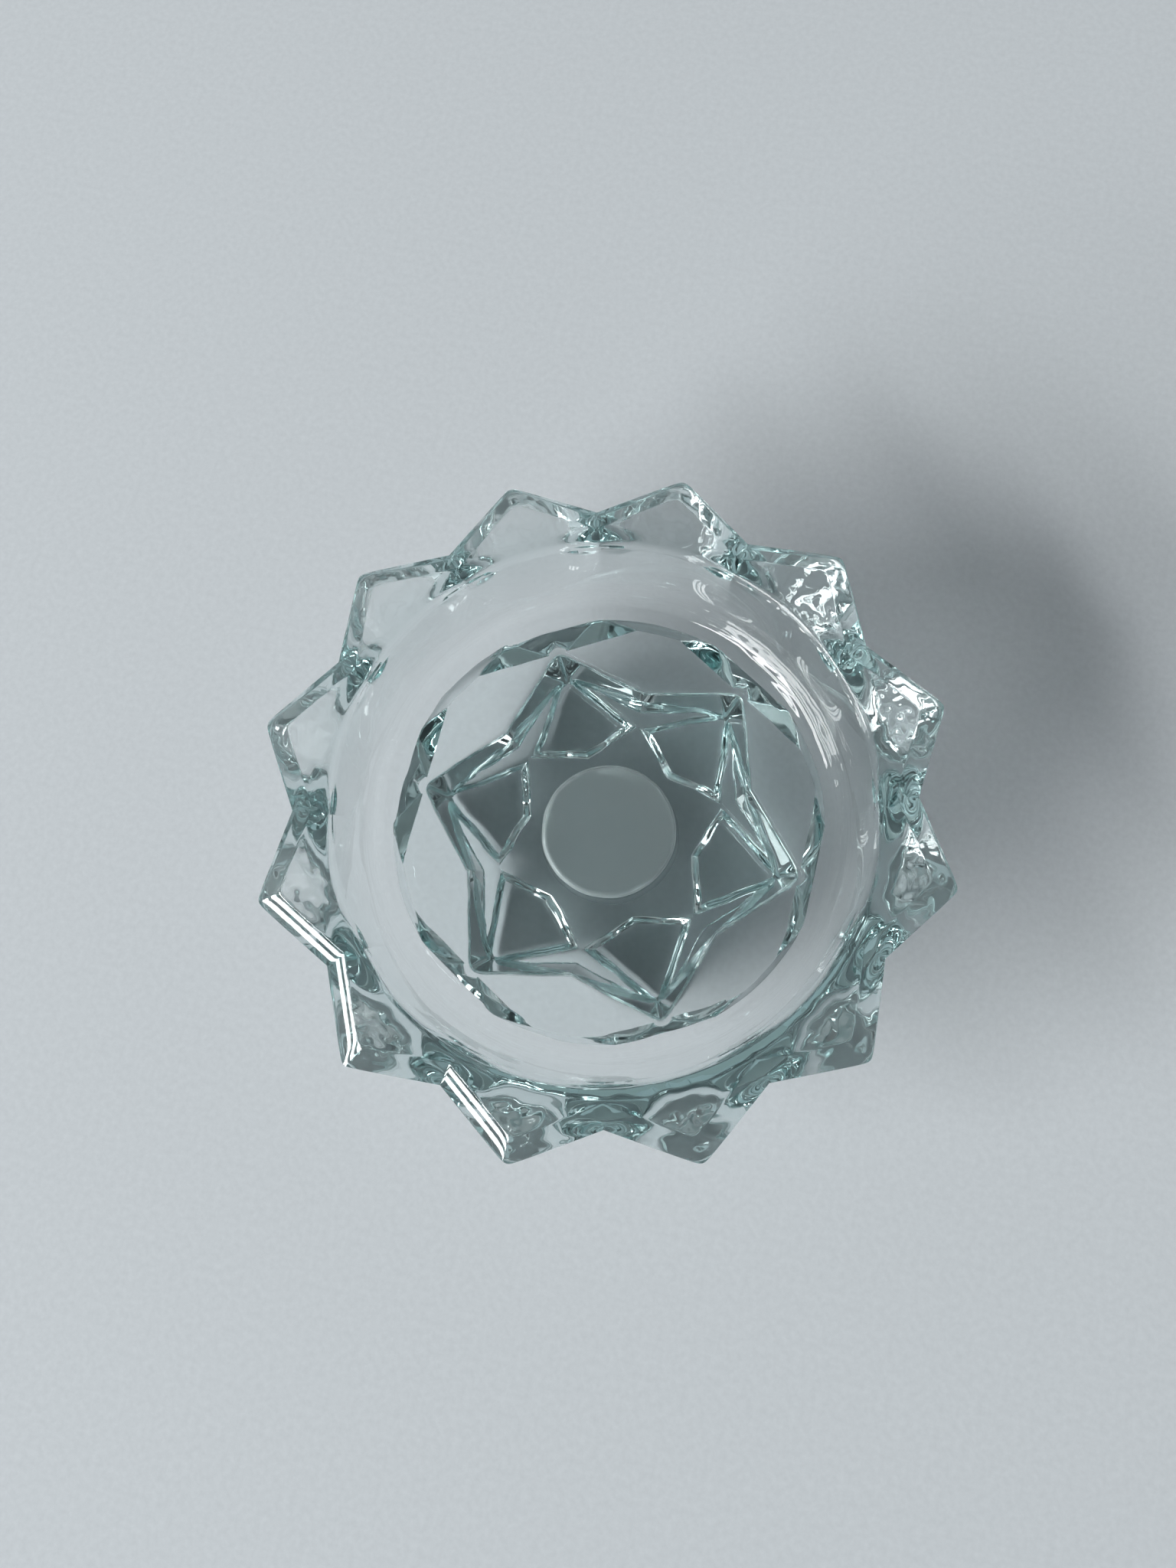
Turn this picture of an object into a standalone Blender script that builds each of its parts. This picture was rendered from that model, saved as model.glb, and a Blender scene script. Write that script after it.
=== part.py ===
"""Reversible candle holder pressed from one piece of clear glass.

Upright, a smooth round cup takes a tealight or a votive candle inside a
twelve-pointed rim.  Turned over, it stands on the rim and the socket in the
six-pointed foot takes a taper candle.

The whole body is one gather of glass pressed between a two-part mould and a
plunger, so each surface is seen from straight above or straight below: the
top is one height over the plan, the underside is another.  Both are written
as depths below the rim plane, lofted over closed loops around the axis, and
joined at the widest line of the rim, where the mould parts.
"""

import math

import bmesh
import bpy
import numpy as np

# Whole body
HEIGHT = 0.0370
MIN_STEP = 0.00012

# Rim star
RIM_POINTS = 12
RIM_TIP_RADIUS = 0.0500
RIM_NOTCH_RADIUS = 0.0437
RIM_TIP_ROUNDING = 0.0006
RIM_BEVEL_WIDTH = 0.0032
RIM_BEVEL_DEPTH = 0.0022
RIM_EDGE_DRAFT = 0.14

# Cup for a tealight or votive candle
MOUTH_RADIUS = 0.0380
MOUTH_LIP_ROUNDING = 0.0009
CUP_DEPTH = 0.0165
CUP_WALL_DRAFT = 0.14
CUP_FILLET = 0.0110

# Twelve lobes under the rim points, and the round bowl that they grow from
LOBE_NOSE_DEPTH = 0.0030
LOBE_NOSE_ROUNDING = 0.0045
LOBE_KEEL_SLOPE = 1.18
LOBE_HALF_WIDTH = 0.0112
LOBE_SIDE_RISE = 0.0050
LOBE_START_RADIUS = 0.0406
LOBE_FULL_RADIUS = 0.0437
BOWL_DEPTH = 0.0200
BOWL_SHOULDER_ROUNDING = 0.0012

# Six-sided plinth under the bowl
PLINTH_RADIUS = 0.0333
PLINTH_APOTHEM = 0.0305
PLINTH_DEPTH = 0.0268
PLINTH_FACET_SLOPE = 3.0
PLINTH_EDGE_SLOPE = 15.0

# Six-pointed foot
FOOT_POINTS = 6
FOOT_TIP_RADIUS = 0.0300
FOOT_NOTCH_RADIUS = 0.0224
FOOT_TIP_ROUNDING = 0.0007
FOOT_DRAFT = 0.24
FOOT_COVE_RADIUS = 0.0012
PAD_TIP_RADIUS = 0.0258
PAD_SIDE_RADIUS = 0.0184
PAD_SIDE_ANGLE = math.radians(20.0)
PAD_HEEL_RADIUS = 0.0157
PAD_HEIGHT = 0.0020
PAD_EDGE_SLOPE = 1.4
PAD_EDGE_ROUNDING = 0.0010

# Socket for a taper candle
SOCKET_RADIUS = 0.0107
SOCKET_CEILING_DEPTH = 0.0270
SOCKET_DRAFT = 0.06

# How finely the loft follows the form
LOOPS_PER_POINT = 8
CUP_FILLET_LOOPS = 7
LOBE_LOOPS = 9
MIDWAY = 0.5
ARC_SHARES = (0.3,)
SHARP_EDGE = math.radians(28.0)

# Clear glass with a faint sea-green cast
GLASS_COLOUR = (0.78, 0.90, 0.88, 1.0)
GLASS_ROUGHNESS = 0.02
GLASS_REFRACTIVE_INDEX = 1.52


def from_nearest_point(azimuth, points):
    """Angle from the axis of the nearest of several evenly spaced points."""
    pitch = 2.0 * math.pi / points
    return (azimuth + pitch / 2.0) % pitch - pitch / 2.0


def star_edge(points, tip_radius, notch_radius):
    """How fast one edge of a star falls inward per unit of sideways run."""
    half_pitch = math.pi / points
    return (tip_radius - notch_radius * math.cos(half_pitch)) / (notch_radius * math.sin(half_pitch))


def star_inset(radius, azimuth, points, tip_radius, notch_radius, rounding):
    """Distance inside a star's outline, negative outside it."""
    angle = from_nearest_point(azimuth, points)
    fall = star_edge(points, tip_radius, notch_radius)
    along = radius * np.cos(angle)
    across = radius * np.sin(angle)
    apex = tip_radius + fall * rounding
    return (apex - fall * np.hypot(across, rounding) - along) / math.hypot(1.0, fall)


def star_radius(azimuth, points, tip_radius, notch_radius, rounding):
    """Radius of a star's outline, its tips rounded, at each azimuth."""
    angle = from_nearest_point(azimuth, points)
    fall = star_edge(points, tip_radius, notch_radius)
    apex = tip_radius + fall * rounding
    cosine = np.cos(angle)
    spread = (fall * np.sin(angle)) ** 2
    constant = apex ** 2 - (fall * rounding) ** 2
    root = np.sqrt((apex * cosine) ** 2 - (cosine ** 2 - spread) * constant)
    return constant / (apex * cosine + root)


RIM_STAR = (RIM_POINTS, RIM_TIP_RADIUS, RIM_NOTCH_RADIUS, RIM_TIP_ROUNDING)
FOOT_STAR = (FOOT_POINTS, FOOT_TIP_RADIUS, FOOT_NOTCH_RADIUS, FOOT_TIP_ROUNDING)


def eased_ramp(distance, slope, rounding):
    """Rise that starts flat, turns through a round edge and goes on straight."""
    turn = math.atan(slope)
    bend = rounding * math.sin(turn)
    arc = rounding - np.sqrt(rounding ** 2 - np.clip(distance, 0.0, bend) ** 2)
    return arc + np.clip(distance - bend, 0.0, None) * slope


def cup_section():
    """Centre of the cup's fillet and the radius where its wall begins."""
    lean = math.atan(CUP_WALL_DRAFT)
    centre_depth = CUP_DEPTH - CUP_FILLET
    wall_depth = centre_depth + CUP_FILLET * math.sin(lean)
    wall_radius = MOUTH_RADIUS - CUP_WALL_DRAFT * wall_depth
    return wall_radius - CUP_FILLET * math.cos(lean), centre_depth, wall_radius


def top_depth(radius, azimuth):
    """Depth of the upper surface: cup, lip, flat rim and its star bevel."""
    centre, centre_depth, wall_radius = cup_section()
    run = np.clip(radius - centre, 0.0, CUP_FILLET)
    fillet = centre_depth + np.sqrt(CUP_FILLET ** 2 - run ** 2)
    wall = np.clip((MOUTH_RADIUS - radius) / CUP_WALL_DRAFT, 0.0, None)
    cup = np.where(radius < wall_radius, fillet, wall)
    lip_run = np.clip(MOUTH_RADIUS + MOUTH_LIP_ROUNDING - radius, 0.0, MOUTH_LIP_ROUNDING)
    lip = MOUTH_LIP_ROUNDING - np.sqrt(MOUTH_LIP_ROUNDING ** 2 - lip_run ** 2)
    inset = star_inset(radius, azimuth, *RIM_STAR)
    bevel = np.clip(1.0 - inset / RIM_BEVEL_WIDTH, 0.0, None) * RIM_BEVEL_DEPTH
    return np.where(radius < MOUTH_RADIUS, np.maximum(cup, lip), np.maximum(lip, bevel))


def eased_step(share):
    """Go from zero to one along an S-shaped curve."""
    share = np.clip(share, 0.0, 1.0)
    return share * share * (3.0 - 2.0 * share)


def keel_depth(radius):
    """Depth under the middle of a rim point: an arc, a slope and the bowl."""
    slope_angle = math.atan(LOBE_KEEL_SLOPE)
    nose_angle = math.atan(1.0 / RIM_EDGE_DRAFT)
    bend = LOBE_NOSE_ROUNDING * (math.sin(nose_angle) - math.sin(slope_angle))
    inset = RIM_TIP_RADIUS - RIM_EDGE_DRAFT * (LOBE_NOSE_DEPTH - RIM_BEVEL_DEPTH) - radius
    sine = math.sin(nose_angle) - np.clip(inset, 0.0, bend) / LOBE_NOSE_ROUNDING
    arc = LOBE_NOSE_ROUNDING * (np.sqrt(1.0 - sine ** 2) - math.cos(nose_angle))
    slope = np.clip(inset - bend, 0.0, None) * LOBE_KEEL_SLOPE
    edge = np.minimum(inset, 0.0) / RIM_EDGE_DRAFT
    above_bowl = (BOWL_DEPTH - (LOBE_NOSE_DEPTH + arc + slope + edge)) / BOWL_SHOULDER_ROUNDING
    return BOWL_DEPTH - BOWL_SHOULDER_ROUNDING * np.logaddexp(0.0, above_bowl)


def lobe_depth(radius, azimuth):
    """Depth of the bowl and of the twelve round-backed lobes outside it."""
    across = np.abs(radius * np.sin(from_nearest_point(azimuth, RIM_POINTS)))
    grown = eased_step((radius - LOBE_START_RADIUS) / (LOBE_FULL_RADIUS - LOBE_START_RADIUS))
    lobe = keel_depth(radius) - grown * LOBE_SIDE_RISE * (across / LOBE_HALF_WIDTH) ** 3
    edge = RIM_BEVEL_DEPTH + star_inset(radius, azimuth, *RIM_STAR) / RIM_EDGE_DRAFT
    return np.minimum(lobe, edge)


def plinth_depth(radius, azimuth):
    """Depth of the flat plinth, its steep facets facing the foot's points."""
    angle = from_nearest_point(azimuth, FOOT_POINTS)
    facet = (PLINTH_APOTHEM - radius * np.cos(angle)) * PLINTH_FACET_SLOPE
    edge = (PLINTH_RADIUS - radius) * PLINTH_EDGE_SLOPE
    return PLINTH_DEPTH + np.minimum(np.minimum(facet, edge), 0.0)


def pad_lines():
    """The kite's two straight edges as (unit normal, offset), in one half."""
    side = (PAD_SIDE_RADIUS * math.cos(PAD_SIDE_ANGLE), PAD_SIDE_RADIUS * math.sin(PAD_SIDE_ANGLE))
    lines = []
    for corner_radius, outward in ((PAD_TIP_RADIUS, 1.0), (PAD_HEEL_RADIUS, -1.0)):
        run = (corner_radius - side[0], -side[1])
        length = math.hypot(*run)
        normal = (outward * -run[1] / length, outward * run[0] / length)
        lines.append((normal, normal[0] * corner_radius))
    return lines


def foot_depth(radius, azimuth):
    """Depth of the star foot: drafted walls and the kite pads it stands on."""
    angle = from_nearest_point(azimuth, FOOT_POINTS)
    along = radius * np.cos(angle)
    across = np.abs(radius * np.sin(angle))
    toe, heel = pad_lines()
    past_toe = toe[0][0] * along + toe[0][1] * across - toe[1]
    past_heel = heel[0][0] * along + heel[0][1] * across - heel[1]
    past_edge = np.maximum(past_toe, past_heel)
    rise = np.minimum(eased_ramp(past_edge, PAD_EDGE_SLOPE, PAD_EDGE_ROUNDING), PAD_HEIGHT)
    inset = star_inset(radius, azimuth, *FOOT_STAR)
    wall = PLINTH_DEPTH + inset / FOOT_DRAFT
    cove_run = np.clip(FOOT_COVE_RADIUS + inset, 0.0, FOOT_COVE_RADIUS)
    cove = PLINTH_DEPTH + FOOT_COVE_RADIUS - np.sqrt(FOOT_COVE_RADIUS ** 2 - cove_run ** 2)
    foot = np.minimum(np.where(inset > 0.0, wall + FOOT_COVE_RADIUS, cove), HEIGHT - rise)
    return np.where(inset > -FOOT_COVE_RADIUS, foot, 0.0)


def under_depth(radius, azimuth):
    """Depth of the whole underside, with the taper socket sunk into it."""
    body = np.maximum.reduce([
        lobe_depth(radius, azimuth),
        plinth_depth(radius, azimuth),
        foot_depth(radius, azimuth),
    ])
    socket = SOCKET_CEILING_DEPTH + np.clip(radius - SOCKET_RADIUS, 0.0, None) / SOCKET_DRAFT
    return np.where(radius < PAD_HEEL_RADIUS, np.minimum(body, socket), body)


def socket_mouth_radius():
    """Radius where the socket's drafted wall comes out under the foot."""
    return SOCKET_RADIUS + SOCKET_DRAFT * (HEIGHT - PAD_HEIGHT - SOCKET_CEILING_DEPTH)


def pad_edge_run():
    """Sideways runs of a pad's rounded edge and of its whole side."""
    turn = math.atan(PAD_EDGE_SLOPE)
    bend = PAD_EDGE_ROUNDING * math.sin(turn)
    eased = PAD_EDGE_ROUNDING * (1.0 - math.cos(turn))
    return bend, bend + (PAD_HEIGHT - eased) / PAD_EDGE_SLOPE


def line_radius(line, angle):
    """Radius at which a ray from the axis crosses one of the kite's edges."""
    (normal_along, normal_across), offset = line
    return offset / (normal_along * np.cos(angle) + normal_across * np.abs(np.sin(angle)))


def top_stations(azimuth):
    """Radii of the loops over the upper surface, from the axis outwards."""
    centre, _, wall_radius = cup_section()
    outline = star_radius(azimuth, *RIM_STAR)
    level = np.ones_like(azimuth)
    turn = np.linspace(0.0, math.asin((wall_radius - centre) / CUP_FILLET), CUP_FILLET_LOOPS + 1)
    spread = math.hypot(1.0, star_edge(*RIM_STAR[:3]))
    radii = [centre * MIDWAY * level]
    radii += [(centre + CUP_FILLET * math.sin(step)) * level for step in turn]
    radii += [MOUTH_RADIUS * level]
    radii += [(MOUTH_RADIUS + MOUTH_LIP_ROUNDING * share) * level for share in ARC_SHARES]
    radii += [(MOUTH_RADIUS + MOUTH_LIP_ROUNDING) * level]
    radii += [outline - RIM_BEVEL_WIDTH * spread, outline]
    return radii


def foot_stations(azimuth):
    """Radii of the loops over the socket, the pads and the foot's wall."""
    angle = from_nearest_point(azimuth, FOOT_POINTS)
    level = np.ones_like(azimuth)
    toe, heel = pad_lines()
    on_pad = np.abs(angle) < PAD_SIDE_ANGLE
    outer = np.where(on_pad, line_radius(toe, angle), PAD_SIDE_RADIUS)
    inner = np.where(on_pad, line_radius(heel, angle), PAD_SIDE_RADIUS)
    foot = star_radius(azimuth, *FOOT_STAR)
    wall_run = FOOT_DRAFT * (HEIGHT - PAD_HEIGHT - PLINTH_DEPTH)
    bend, side = pad_edge_run()
    radii = [SOCKET_RADIUS * level, socket_mouth_radius() * level]
    radii += [inner - side, inner - bend, inner, (inner + outer) * MIDWAY, outer, outer + bend, outer + side]
    radii += [np.maximum(foot - wall_run, outer + side), foot - wall_run * MIDWAY, foot]
    radii += [foot + FOOT_COVE_RADIUS * share for share in ARC_SHARES]
    radii += [foot + FOOT_COVE_RADIUS]
    return radii


def under_stations(azimuth):
    """Radii of the loops over the whole underside, from the axis outwards."""
    angle = from_nearest_point(azimuth, FOOT_POINTS)
    level = np.ones_like(azimuth)
    outline = star_radius(azimuth, *RIM_STAR)
    facet_foot = np.minimum(PLINTH_APOTHEM / np.cos(angle), PLINTH_RADIUS)
    rise = (PLINTH_DEPTH - BOWL_DEPTH) / PLINTH_FACET_SLOPE
    facet_head = np.minimum(facet_foot + rise / np.cos(angle), PLINTH_RADIUS)
    wall_run = (PLINTH_DEPTH - BOWL_DEPTH) / PLINTH_EDGE_SLOPE
    last = outline - RIM_EDGE_DRAFT * (LOBE_NOSE_DEPTH - RIM_BEVEL_DEPTH)
    radii = foot_stations(azimuth)
    radii += [facet_foot, facet_head, (PLINTH_RADIUS + wall_run) * level]
    radii += [LOBE_START_RADIUS + (last - LOBE_START_RADIUS) * share for share in np.linspace(0.0, 1.0, LOBE_LOOPS)]
    return radii


def in_order(radii, limit):
    """Keep each loop a small step outside the one before it."""
    ordered = [radii[0]]
    for radius in radii[1:]:
        ordered.append(np.maximum(radius, ordered[-1] + MIN_STEP))
    for index in range(len(ordered) - 1, -1, -1):
        room = (len(ordered) - index) * MIN_STEP
        ordered[index] = np.minimum(ordered[index], limit - room)
    return ordered


def loop_points(radius, azimuth, depth):
    """Points of one closed loop, the foot's lowest face at height zero."""
    return np.stack([radius * np.cos(azimuth), radius * np.sin(azimuth), HEIGHT - depth], axis=-1)


def glass_body():
    """Loft the cup and the underside, and close each at the axis."""
    count = RIM_POINTS * LOOPS_PER_POINT
    azimuth = np.arange(count) * 2.0 * math.pi / count
    outline = star_radius(azimuth, *RIM_STAR)

    top = in_order(top_stations(azimuth)[:-1], outline)
    under = in_order(under_stations(azimuth), outline)
    loops = [loop_points(radius, azimuth, top_depth(radius, azimuth)) for radius in top]
    loops.append(loop_points(outline, azimuth, np.full(count, RIM_BEVEL_DEPTH)))
    for radius in reversed(under):
        loops.append(loop_points(radius, azimuth, under_depth(radius, azimuth)))

    mesh = bmesh.new()
    rings = [[mesh.verts.new(point) for point in loop] for loop in loops]
    for inner, outer in zip(rings, rings[1:]):
        for here in range(count):
            after = (here + 1) % count
            mesh.faces.new((inner[here], outer[here], outer[after], inner[after]))
    cup_centre = mesh.verts.new((0.0, 0.0, HEIGHT - CUP_DEPTH))
    socket_centre = mesh.verts.new((0.0, 0.0, HEIGHT - SOCKET_CEILING_DEPTH))
    for here in range(count):
        after = (here + 1) % count
        mesh.faces.new((cup_centre, rings[0][here], rings[0][after]))
        mesh.faces.new((socket_centre, rings[-1][after], rings[-1][here]))
    return mesh


def clear_glass():
    material = bpy.data.materials.new("clear_pressed_glass")
    material.use_nodes = True
    shader = material.node_tree.nodes["Principled BSDF"]
    shader.inputs["Base Color"].default_value = GLASS_COLOUR
    shader.inputs["Roughness"].default_value = GLASS_ROUGHNESS
    shader.inputs["Metallic"].default_value = 0.0
    shader.inputs["IOR"].default_value = GLASS_REFRACTIVE_INDEX
    shader.inputs["Transmission Weight"].default_value = 1.0
    return material


def main():
    for leftover in list(bpy.data.objects):
        bpy.data.objects.remove(leftover, do_unlink=True)
    mesh = bpy.data.meshes.new("glass_body")
    shape = glass_body()
    shape.to_mesh(mesh)
    shape.free()
    mesh.shade_smooth()
    mesh.set_sharp_from_angle(angle=SHARP_EDGE)
    mesh.materials.append(clear_glass())
    body = bpy.data.objects.new("glass_body", mesh)
    bpy.context.collection.objects.link(body)
    print("glass_body triangles:", sum(len(face.vertices) - 2 for face in mesh.polygons))


main()
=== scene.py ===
# %% [markdown]
# # A reversible candle holder of clear pressed glass
#
# The real object is one piece of glass.  A gather of molten soda-lime glass is dropped into an iron
# mould and a plunger presses it down.  The mould gives the outside: a twelve-pointed rim, round-backed
# lobes under the points, a short plinth with six cut facets, and a six-pointed foot with kite-shaped
# pads.  The plunger gives the round cup.  A small pin in the mould leaves a socket in the foot, so that
# the holder also takes a taper candle when it is turned over.
#
# This lesson builds that piece as one closed mesh, gives it a glass that bends and tints light as the
# real one does, and puts it on a pale table by a window.

# %% Load the frame
import math

import bpy
import numpy as np
from mathutils import Matrix, Vector


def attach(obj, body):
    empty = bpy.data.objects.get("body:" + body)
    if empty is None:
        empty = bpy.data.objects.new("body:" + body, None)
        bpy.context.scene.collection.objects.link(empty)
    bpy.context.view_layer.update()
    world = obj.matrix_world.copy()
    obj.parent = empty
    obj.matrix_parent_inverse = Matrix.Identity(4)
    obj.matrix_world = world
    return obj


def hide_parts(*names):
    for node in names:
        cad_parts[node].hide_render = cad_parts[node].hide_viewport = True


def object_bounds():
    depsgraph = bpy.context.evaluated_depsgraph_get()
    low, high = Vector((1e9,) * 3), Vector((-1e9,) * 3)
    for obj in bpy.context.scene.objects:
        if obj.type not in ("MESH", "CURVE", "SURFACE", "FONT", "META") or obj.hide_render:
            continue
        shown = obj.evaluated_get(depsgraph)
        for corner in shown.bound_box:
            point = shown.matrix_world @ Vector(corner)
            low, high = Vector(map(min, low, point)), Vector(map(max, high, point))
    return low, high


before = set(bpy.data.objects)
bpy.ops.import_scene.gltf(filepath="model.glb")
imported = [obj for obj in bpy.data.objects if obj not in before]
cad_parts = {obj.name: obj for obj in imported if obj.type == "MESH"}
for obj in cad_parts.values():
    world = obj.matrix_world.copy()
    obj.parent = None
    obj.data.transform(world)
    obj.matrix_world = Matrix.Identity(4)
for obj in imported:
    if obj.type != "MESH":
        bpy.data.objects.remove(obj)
cad_low, cad_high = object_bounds()
print("CAD box in mm:", [round((high - low) * 1000.0, 2) for low, high in zip(cad_low, cad_high)])

# %% [markdown]
# ## Colours and nodes
#
# Web pages and paint programs write a colour as an sRGB hex value.  Blender computes with linear light,
# so one function turns the first into the second.  A second small function adds a node, sets its inputs
# and connects it: with it each material below reads as a list of steps.

# %% Helpers for colours and nodes
def linear(hex_colour):
    """Turn an sRGB hex colour into linear red, green and blue with full alpha."""
    channels = [int(hex_colour[index:index + 2], 16) / 255.0 for index in (1, 3, 5)]
    curve = [c / 12.92 if c <= 0.04045 else ((c + 0.055) / 1.055) ** 2.4 for c in channels]
    return (*curve, 1.0)


def add_node(tree, kind, settings=None, links=None):
    """Add a node, set its input values and link its inputs."""
    node = tree.nodes.new(kind)
    for name, value in (settings or {}).items():
        node.inputs[name].default_value = value
    for name, source in (links or {}).items():
        tree.links.new(source, node.inputs[name])
    return node


print("mid grey #808080 is", round(linear("#808080")[0], 3), "in linear light")

# %% [markdown]
# ## Stars from straight lines
#
# Everything is in metres, with the foot's pads at height zero and the rim at the top.  The height comes
# from the frame, so the body stands exactly where the CAD body stands.
#
# The rim and the foot are both stars: each edge is a straight line from a point to a notch.  Near a
# point the line is replaced by a hyperbola, which has the same direction further out and a round tip,
# as fire polishing leaves it.  A bevelled curve object could draw such a star too, but the formula also
# says how far inside the star any place lies, and that distance drives the bevel and the drafted walls.

# %% Star outlines
HEIGHT = cad_high.z
RIM_POINTS, FOOT_POINTS = 12, 6
RIM = dict(points=RIM_POINTS, tip=0.0500, notch=0.0437, rounding=0.0006)
FOOT = dict(points=FOOT_POINTS, tip=0.0300, notch=0.0224, rounding=0.0007)


def nearest_point_angle(azimuth, points):
    """Angle from the axis of the nearest of several evenly spaced points."""
    pitch = 2.0 * math.pi / points
    return (azimuth + pitch / 2.0) % pitch - pitch / 2.0


def edge_fall(star):
    """How fast a star's edge falls inward per unit of sideways run."""
    half_pitch = math.pi / star["points"]
    return (star["tip"] - star["notch"] * math.cos(half_pitch)) / (star["notch"] * math.sin(half_pitch))


def star_inset(radius, azimuth, star):
    """Distance inside a star's outline, negative outside it."""
    angle = nearest_point_angle(azimuth, star["points"])
    fall = edge_fall(star)
    apex = star["tip"] + fall * star["rounding"]
    reach = fall * np.hypot(radius * np.sin(angle), star["rounding"]) + radius * np.cos(angle)
    return (apex - reach) / math.hypot(1.0, fall)


def star_radius(azimuth, star):
    """Radius of a star's outline at each azimuth."""
    angle = nearest_point_angle(azimuth, star["points"])
    fall = edge_fall(star)
    apex = star["tip"] + fall * star["rounding"]
    cosine = np.cos(angle)
    constant = apex ** 2 - (fall * star["rounding"]) ** 2
    root = np.sqrt((apex * cosine) ** 2 - (cosine ** 2 - (fall * np.sin(angle)) ** 2) * constant)
    return constant / (apex * cosine + root)


for part, star in (("rim", RIM), ("foot", FOOT)):
    slant = math.degrees(math.atan(edge_fall(star)))
    print(part, "has", star["points"], "points, and each edge falls by", round(slant, 1), "degrees")

# %% [markdown]
# ## Soft joins
#
# Where two faces of a glass mould meet, the glass never fills the corner to a knife edge.  Three small
# functions round such joins.  The soft minimum is the smaller of two depths, blended over a short band.
# The eased step goes from nothing to all along an S, and the eased ramp turns through an arc into a
# straight slope.  A bevel modifier of one width would round every edge alike, and here each join has
# its own radius.

# %% Rounding helpers
def soft_min(first, second, band):
    """The smaller of two depths, blended where they differ by less than the band."""
    share = np.clip(0.5 + 0.5 * (second - first) / band, 0.0, 1.0)
    return second + (first - second) * share - band * share * (1.0 - share)


def eased_step(share):
    """Go from zero to one along an S-shaped curve."""
    share = np.clip(share, 0.0, 1.0)
    return share * share * (3.0 - 2.0 * share)


def eased_ramp(distance, slope, rounding):
    """Rise that starts flat, turns through a round edge and goes on straight."""
    bend = rounding * math.sin(math.atan(slope))
    arc = rounding - np.sqrt(rounding ** 2 - np.clip(distance, 0.0, bend) ** 2)
    return arc + np.clip(distance - bend, 0.0, None) * slope


print("where two depths are equal, a band of 1 mm takes off", -soft_min(0.0, 0.0, 1.0), "mm")

# %% [markdown]
# ## Waves in pressed glass
#
# Pressed glass is chilled by its mould, so no face is as true as ground glass.  Here long shallow waves
# lie in the cup and on the back of the bowl and the lobes, and shorter ones on the lobes alone, where
# the glass comes last.  A bump texture could draw them, but it leaves the mesh itself flat.  Each wave
# is a sine over the plan, and it swings a little as it goes, so that no stripes form.  What the eye
# sees through glass is the slope of a face, so each wave is given by its length and its steepest slope
# along its heading, and its height follows.

# %% Waves
PRESSED_WAVES = ((0.0083, 0.020, 0.4), (0.0057, 0.020, 2.2), (0.0041, 0.018, 3.9), (0.0030, 0.014, 5.2))
LOBE_WAVES = ((0.0029, 0.024, 1.1), (0.0021, 0.025, 2.7), (0.0016, 0.020, 4.5))
SWING, SWING_RATE = 1.6, 0.37


def waves(radius, azimuth, kinds):
    """Height of several crossing waves, each as (length, steepest slope, heading)."""
    east, north = radius * np.cos(azimuth), radius * np.sin(azimuth)
    height = 0.0
    for length, slope, heading in kinds:
        turn = 2.0 * math.pi / length
        along = east * math.cos(heading) + north * math.sin(heading)
        across = north * math.cos(heading) - east * math.sin(heading)
        swing = SWING * np.sin(SWING_RATE * turn * across + heading)
        height = height + slope / turn * np.sin(turn * along + swing)
    return height


for kind, group in (("pressed", PRESSED_WAVES), ("lobe", LOBE_WAVES)):
    heights = [round(length * slope / (2.0 * math.pi) * 1e6) for length, slope, _ in group]
    print(kind, "waves rise by", heights, "thousandths of a mm")

# %% [markdown]
# ## The cup
#
# The plunger presses a round cup with a flat floor, a fillet and a wall that leans out by its draft, so
# that the plunger lifts out again.  Seen from above each place has one depth, so the cup is written as a
# depth at each radius rather than turned as a solid: the waves can then be added to it.

# %% Section of the cup
MOUTH_RADIUS = 0.0380
CUP_DEPTH, CUP_DRAFT, CUP_FILLET = 0.0165, 0.14, 0.0050


def cup_section():
    """Radius of the flat floor, depth of the fillet's centre, and radius where the wall begins."""
    lean = math.atan(CUP_DRAFT)
    centre_depth = CUP_DEPTH - CUP_FILLET
    wall_radius = MOUTH_RADIUS - CUP_DRAFT * (centre_depth + CUP_FILLET * math.sin(lean))
    return wall_radius - CUP_FILLET * math.cos(lean), centre_depth, wall_radius


def cup_depth(radius):
    """Depth of the floor, the fillet and the wall below the rim plane."""
    floor_radius, centre_depth, wall_radius = cup_section()
    run = np.clip(radius - floor_radius, 0.0, CUP_FILLET)
    fillet = centre_depth + np.sqrt(CUP_FILLET ** 2 - run ** 2)
    wall = np.clip((MOUTH_RADIUS - radius) / CUP_DRAFT, 0.0, None)
    return np.where(radius < wall_radius, fillet, wall)


print("cup floor is", round(cup_section()[0] * 2000.0, 1), "mm across")

# %% [markdown]
# ## The plunger's marks
#
# The plunger is turned on a lathe, and its fine rings stay in the glass of the fillet and the wall.  On
# the real glass they break the window's reflection into thin arcs.  They are sines over the radius in
# three pitches, a few hundredths of a millimetre deep, and they drift and swell round the cup as worn
# tool marks do.  Each drifts a whole number of times in one turn, so that it meets itself again.

# %% Plunger marks
MARK_PITCHES = (0.0034, 0.0019, 0.0011)
MARK_DEPTHS = (0.000050, 0.000050, 0.000026)
MARK_START, MARK_END = 0.0312, 0.0372
FADE_IN, FADE_OUT = 4.0, 8.0
SLOW_DRIFT, FAST_DRIFT = 1.3, 0.8
MEAN_SWELL, SWELL_CHANGE = 0.6, 0.4


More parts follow.
